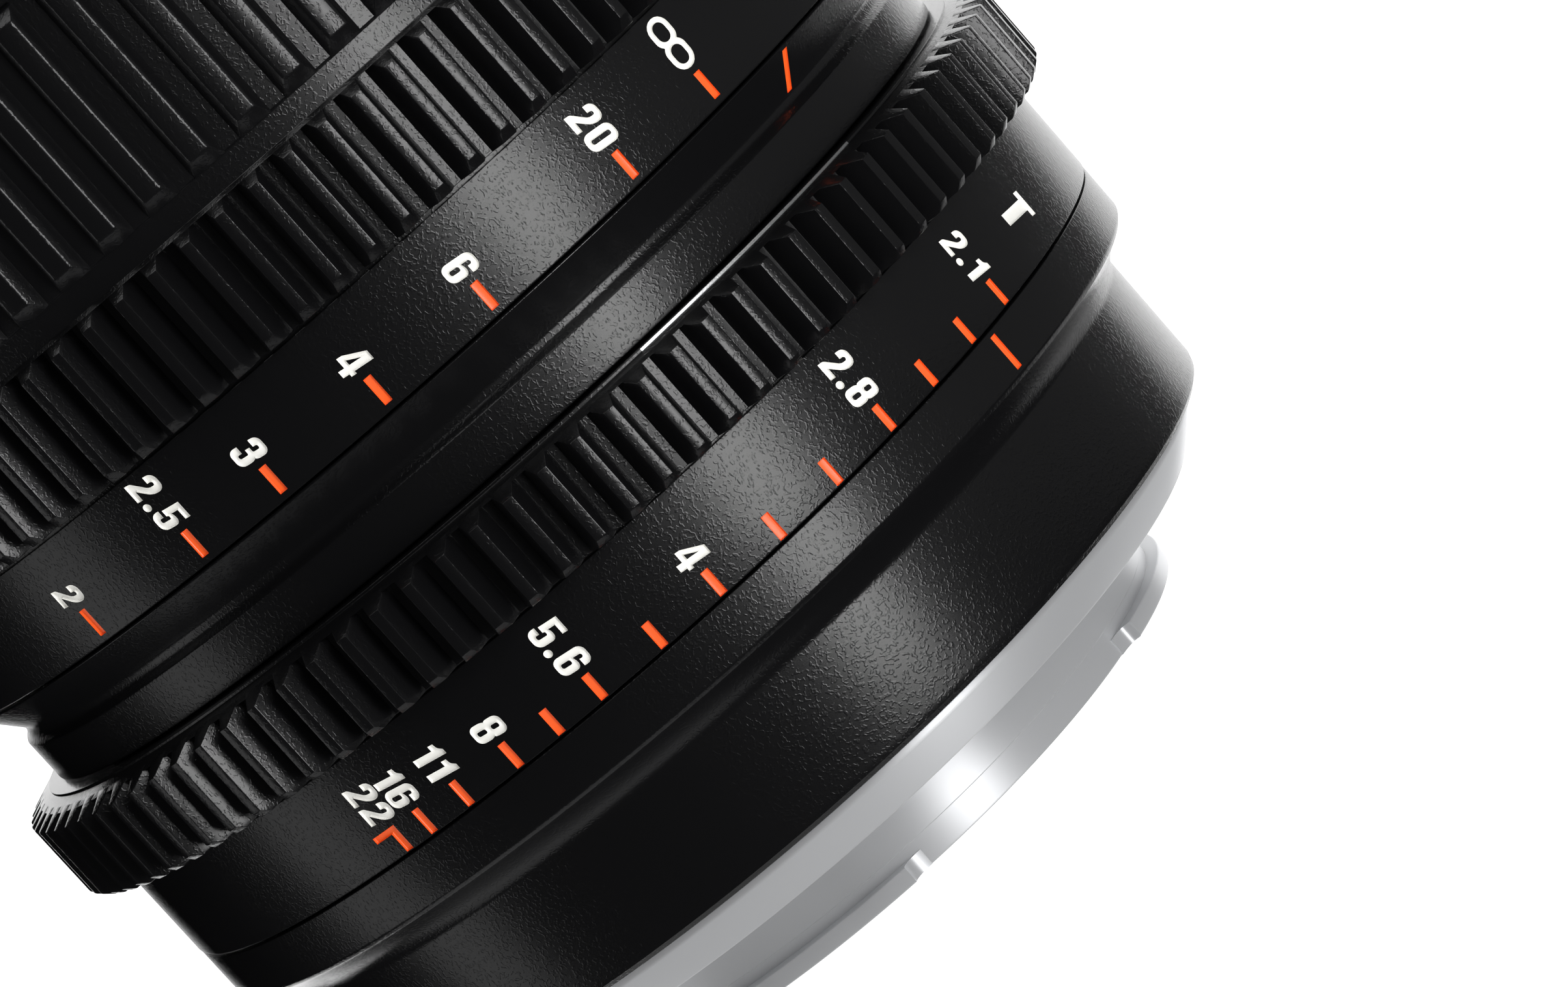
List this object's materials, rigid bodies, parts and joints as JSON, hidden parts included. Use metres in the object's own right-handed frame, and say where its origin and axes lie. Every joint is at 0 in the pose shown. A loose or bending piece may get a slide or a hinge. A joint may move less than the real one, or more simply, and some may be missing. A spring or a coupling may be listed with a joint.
{
  "type": "manual prime lens",
  "caption": "Manual cine prime lens with toothed focus and aperture rings, an iris of curved blades, a sliding glass block and a lugged bayonet mount.",
  "frame": {"origin": "centre of the bayonet's bearing face, on the optical axis", "axes": "+Z along the optical axis towards the front glass, +Y through the aperture index mark, +X completing the right hand"},
  "size_m": [0.08, 0.08, 0.0933],
  "materials": {
    "black_shell": "black anodised over a fine wrinkle, semi-gloss",
    "black_inner": "matt black anodised",
    "satin_chrome": "satin",
    "steel": "satin",
    "black_screw": "black oxide",
    "brass": "machined",
    "aluminium": "machined",
    "blade_black": "blackened spring steel",
    "glass": "coated optical glass"
  },
  "bodies": {
    "barrel": {"mount_flange": "satin_chrome", "mount_screws": "steel", "mount_shim": "brass", "rear_baffle": "black_inner", "rear_barrel": "black_shell", "mid_barrel": "black_shell", "guide_barrel": "black_inner", "front_barrel": "black_shell", "front_screws": "black_screw", "front_baffle": "black_inner"},
    "aperture": {"aperture_ring": "black_shell", "aperture_drive_pin": "steel"},
    "focus": {"focus_ring": "black_shell", "focus_cam_sleeve": "aluminium", "focus_ring_screws": "black_screw"},
    "block": {"block_barrel": "black_inner", "cam_followers": "brass", "iris_housing": "black_inner", "iris_cover": "black_inner", "iris_cover_screws": "steel", "front_cell": "black_inner", "front_keeper": "black_inner", "front_spacer": "black_inner", "middle_spacer": "black_inner", "doublet_keeper": "black_inner", "rear_cell": "black_inner", "rear_cell_screws": "steel", "rear_spacer": "black_inner", "rear_keeper": "black_inner", "glass_element_1": "glass", "glass_element_2": "glass", "glass_element_3": "glass", "glass_element_4": "glass", "glass_element_5": "glass", "glass_element_6": "glass", "glass_element_7": "glass", "glass_element_8": "glass", "glass_element_9": "glass"},
    "iris_ring": {"iris_cam_ring": "aluminium", "iris_drive_fork": "steel"},
    "blade_01": {"iris_blade_01": "blade_black"},
    "blade_02": {"iris_blade_02": "blade_black"},
    "blade_03": {"iris_blade_03": "blade_black"},
    "blade_04": {"iris_blade_04": "blade_black"},
    "blade_05": {"iris_blade_05": "blade_black"},
    "blade_06": {"iris_blade_06": "blade_black"},
    "blade_07": {"iris_blade_07": "blade_black"},
    "blade_08": {"iris_blade_08": "blade_black"},
    "blade_09": {"iris_blade_09": "blade_black"},
    "blade_10": {"iris_blade_10": "blade_black"}
  },
  "joints": [
    {"name": "aperture_turn", "type": "hinge", "parent": "barrel", "child": "aperture", "pos_m": [0, 0, 0.024], "axis": [0, 0, 1], "range_deg": [-4.2, 74.9]},
    {"name": "focus_turn", "type": "hinge", "parent": "barrel", "child": "focus", "pos_m": [0, 0, 0.05], "axis": [0, 0, 1], "range_deg": [-2, 138]},
    {"name": "block_slide", "type": "slide", "parent": "barrel", "child": "block", "axis": [0, 0, 1], "range_m": [-0.00007, 0.00493]},
    {"name": "iris_ring_turn", "type": "hinge", "parent": "block", "child": "iris_ring", "pos_m": [0, 0, 0.032], "axis": [0, 0, 1], "range_deg": [-4.2, 74.9]},
    {"name": "blade_01_swing", "type": "hinge", "parent": "block", "child": "blade_01", "pos_m": [0.0172, 0, 0.0285], "axis": [0, 0, 1], "range_deg": [-1.57, 28.04]},
    {"name": "blade_02_swing", "type": "hinge", "parent": "block", "child": "blade_02", "pos_m": [0.01392, 0.01011, 0.0285], "axis": [0, 0, 1], "range_deg": [-1.57, 28.04]},
    {"name": "blade_03_swing", "type": "hinge", "parent": "block", "child": "blade_03", "pos_m": [0.00532, 0.01636, 0.0285], "axis": [0, 0, 1], "range_deg": [-1.57, 28.04]},
    {"name": "blade_04_swing", "type": "hinge", "parent": "block", "child": "blade_04", "pos_m": [-0.00532, 0.01636, 0.0285], "axis": [0, 0, 1], "range_deg": [-1.57, 28.04]},
    {"name": "blade_05_swing", "type": "hinge", "parent": "block", "child": "blade_05", "pos_m": [-0.01392, 0.01011, 0.0285], "axis": [0, 0, 1], "range_deg": [-1.57, 28.04]},
    {"name": "blade_06_swing", "type": "hinge", "parent": "block", "child": "blade_06", "pos_m": [-0.0172, 0, 0.0285], "axis": [0, 0, 1], "range_deg": [-1.57, 28.04]},
    {"name": "blade_07_swing", "type": "hinge", "parent": "block", "child": "blade_07", "pos_m": [-0.01392, -0.01011, 0.0285], "axis": [0, 0, 1], "range_deg": [-1.57, 28.04]},
    {"name": "blade_08_swing", "type": "hinge", "parent": "block", "child": "blade_08", "pos_m": [-0.00532, -0.01636, 0.0285], "axis": [0, 0, 1], "range_deg": [-1.57, 28.04]},
    {"name": "blade_09_swing", "type": "hinge", "parent": "block", "child": "blade_09", "pos_m": [0.00532, -0.01636, 0.0285], "axis": [0, 0, 1], "range_deg": [-1.57, 28.04]},
    {"name": "blade_10_swing", "type": "hinge", "parent": "block", "child": "blade_10", "pos_m": [0.01392, -0.01011, 0.0285], "axis": [0, 0, 1], "range_deg": [-1.57, 28.04]}
  ],
  "couplings": [
    {"joint": "block_slide", "follows": "focus_turn", "m_per_rad": 0.0020463},
    {"joint": "iris_ring_turn", "follows": "aperture_turn", "ratio": 1},
    {"joint": "blade_01_swing", "follows": "aperture_turn", "ratio": 0.37433},
    {"joint": "blade_02_swing", "follows": "aperture_turn", "ratio": 0.37433},
    {"joint": "blade_03_swing", "follows": "aperture_turn", "ratio": 0.37433},
    {"joint": "blade_04_swing", "follows": "aperture_turn", "ratio": 0.37433},
    {"joint": "blade_05_swing", "follows": "aperture_turn", "ratio": 0.37433},
    {"joint": "blade_06_swing", "follows": "aperture_turn", "ratio": 0.37433},
    {"joint": "blade_07_swing", "follows": "aperture_turn", "ratio": 0.37433},
    {"joint": "blade_08_swing", "follows": "aperture_turn", "ratio": 0.37433},
    {"joint": "blade_09_swing", "follows": "aperture_turn", "ratio": 0.37433},
    {"joint": "blade_10_swing", "follows": "aperture_turn", "ratio": 0.37433}
  ]
}
